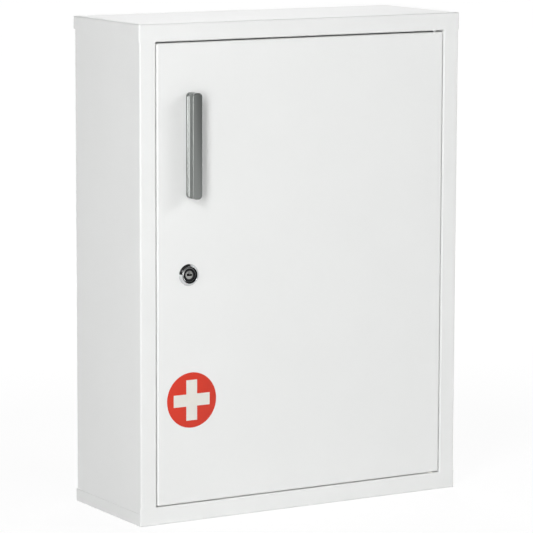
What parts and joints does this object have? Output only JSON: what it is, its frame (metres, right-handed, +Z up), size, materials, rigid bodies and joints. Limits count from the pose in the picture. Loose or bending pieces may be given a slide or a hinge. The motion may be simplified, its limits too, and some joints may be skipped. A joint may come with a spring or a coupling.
{
  "type": "medicine cabinet",
  "caption": "Wall-hung steel medicine cabinet with a hinged locking door, pull handle, cam lock, magnetic catch and removable shelves on slotted uprights.",
  "frame": {"origin": "middle of the base, on the plane that the bottom cap rests on", "axes": "+Z up, +Y towards the wall, +X to the right seen from the front; the door is on the -Y side"},
  "size_m": [0.375, 0.1544, 0.5],
  "materials": {
    "white_powder_coat": "satin white powder coat on folded sheet steel",
    "zinc_plated_steel": "bright zinc plated steel",
    "satin_grey_aluminium": "satin grey anodised, drawn along its length",
    "chrome_plate": "polished chrome plate on zinc alloy",
    "black_lock_face": "black plated, half gloss",
    "white_nylon": "moulded natural nylon",
    "black_rubber": "moulded rubber"
  },
  "bodies": {
    "cabinet": {"left_side_panel": "white_powder_coat", "right_side_panel": "white_powder_coat", "back_panel": "white_powder_coat", "top_cap": "white_powder_coat", "bottom_cap": "white_powder_coat", "upright_left_front": "white_powder_coat", "upright_left_rear": "white_powder_coat", "upright_right_front": "white_powder_coat", "upright_right_rear": "white_powder_coat", "lower_shelf": "white_powder_coat", "middle_shelf": "white_powder_coat", "upper_shelf": "white_powder_coat", "lower_shelf_clips": "zinc_plated_steel", "middle_shelf_clips": "zinc_plated_steel", "upper_shelf_clips": "zinc_plated_steel", "hinge_bush_top": "white_nylon", "hinge_bush_bottom": "white_nylon", "catch_body": "white_nylon", "catch_poles": "zinc_plated_steel", "catch_screws": "zinc_plated_steel", "door_buffer": "black_rubber"},
    "door": {"door_panel": "white_powder_coat", "hinge_block_top": "white_powder_coat", "hinge_block_bottom": "white_powder_coat", "hinge_pin_top": "zinc_plated_steel", "hinge_pin_bottom": "zinc_plated_steel", "handle": "satin_grey_aluminium", "handle_screws": "zinc_plated_steel", "lock_housing": "chrome_plate", "lock_nut": "zinc_plated_steel", "catch_strike": "zinc_plated_steel", "strike_rivets": "zinc_plated_steel"},
    "lock_cylinder": {"lock_plug": "black_lock_face", "lock_core": "chrome_plate", "lock_cam": "zinc_plated_steel", "cam_washer": "zinc_plated_steel", "cam_screw": "zinc_plated_steel"}
  },
  "joints": [
    {"name": "door_hinge", "type": "hinge", "parent": "cabinet", "child": "door", "pos_m": [0.1587, -0.0665, 0.25], "axis": [0, 0, 1], "range_deg": [0, 135]},
    {"name": "lock_turn", "type": "hinge", "parent": "door", "child": "lock_cylinder", "pos_m": [-0.1325, -0.07, 0.25], "axis": [0, 1, 0], "range_deg": [0, 90]}
  ]
}
